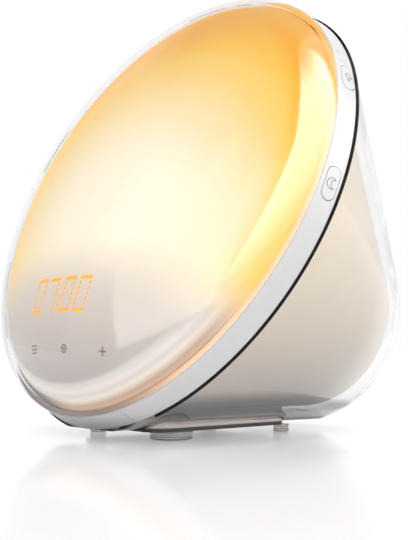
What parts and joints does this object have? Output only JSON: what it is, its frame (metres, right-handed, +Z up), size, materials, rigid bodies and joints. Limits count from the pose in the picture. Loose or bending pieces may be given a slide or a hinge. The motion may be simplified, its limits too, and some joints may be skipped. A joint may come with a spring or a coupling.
{
  "type": "sunrise alarm clock",
  "caption": "Bedside sunrise alarm clock: a leaning lens-shaped clear dome over a lit face with a dashed clock display, white ring with side buttons, clear conical rear body on small feet.",
  "frame": {"origin": "centre of the bounding box, on the table under the feet", "axes": "+X to the right of someone who faces the clock, +Y towards its rear, +Z up"},
  "size_m": [0.19, 0.144, 0.1788],
  "materials": {
    "clear_plastic": "clear, polished",
    "lit_diffuser": "frosted, lit from behind, orange at the top and cream in the middle",
    "lit_orange": "glowing",
    "print_grey": "printed",
    "white_gloss": "polished white",
    "black_rubber": "matt",
    "white_matte": "moulded",
    "frosted_warm": "frosted, warm beige",
    "tray_grey": "moulded grey-brown",
    "base_dark": "moulded, dark grey-green",
    "foot_pad": "translucent, glossy",
    "panel_grey": "moulded",
    "black_plastic": "moulded",
    "board_green": "solder mask",
    "screw_steel": "zinc plated",
    "socket_metal": "plated",
    "led_white": "lens",
    "led_amber": "lens",
    "led_red": "lens",
    "sink_aluminium": "extruded",
    "paper_cone": "pressed paper",
    "capacitor_blue": "sleeve"
  },
  "bodies": {
    "clock": {"front_cover": "clear_plastic", "rim_light": "lit_orange", "front_diffuser": "lit_diffuser", "clock_digits": "lit_orange", "touch_marks": "print_grey", "display_module": "black_plastic", "display_board": "board_green", "touch_board": "board_green", "touch_springs": "screw_steel", "trim_ring": "white_gloss", "ring_insert": "white_gloss", "seal_ring": "black_rubber", "button_switches": "socket_metal", "switch_boards": "board_green", "carrier_frame": "white_matte", "light_barrier": "white_matte", "reflector_bowl": "white_matte", "led_board": "board_green", "white_leds": "led_white", "amber_leds": "led_amber", "red_leds": "led_red", "heat_sink": "sink_aluminium", "light_screws": "screw_steel", "main_board": "board_green", "main_chips": "black_plastic", "capacitors": "capacitor_blue", "board_connectors": "white_matte", "board_screws": "screw_steel", "light_lead": "black_plastic", "speaker_lead": "black_plastic", "socket_lead": "black_plastic", "inner_housing": "frosted_warm", "lower_tray": "tray_grey", "housing_screws": "screw_steel", "rear_shell": "clear_plastic", "base_plate": "base_dark", "base_screws": "screw_steel", "large_foot": "foot_pad", "small_feet": "foot_pad", "speaker_frame": "black_plastic", "speaker_gasket": "black_rubber", "speaker_cone": "paper_cone", "speaker_magnet": "screw_steel", "speaker_screws": "screw_steel", "socket_panel": "panel_grey", "power_socket": "black_plastic", "power_pin": "socket_metal", "audio_socket": "black_plastic", "usb_socket": "socket_metal", "socket_board": "board_green"},
    "light_button_body": {"light_button": "white_gloss"},
    "snooze_button_body": {"snooze_button": "white_gloss"},
    "alarm_button_body": {"alarm_button": "white_gloss"},
    "sound_button_body": {"sound_button": "white_gloss"}
  },
  "joints": [
    {"name": "light_press", "type": "slide", "parent": "clock", "child": "light_button_body", "axis": [-0.9048, -0.1718, -0.3896], "range_m": [0, 0.0008], "stiffness_N_per_m": 400, "springref_m": -0.0005},
    {"name": "snooze_press", "type": "slide", "parent": "clock", "child": "snooze_button_body", "axis": [-0.9986, 0.0211, 0.0479], "range_m": [0, 0.0008], "stiffness_N_per_m": 400, "springref_m": -0.0005},
    {"name": "alarm_press", "type": "slide", "parent": "clock", "child": "alarm_button_body", "axis": [0.9986, 0.0211, 0.0479], "range_m": [0, 0.0008], "stiffness_N_per_m": 400, "springref_m": -0.0005},
    {"name": "sound_press", "type": "slide", "parent": "clock", "child": "sound_button_body", "axis": [0.9048, -0.1718, -0.3896], "range_m": [0, 0.0008], "stiffness_N_per_m": 400, "springref_m": -0.0005}
  ]
}
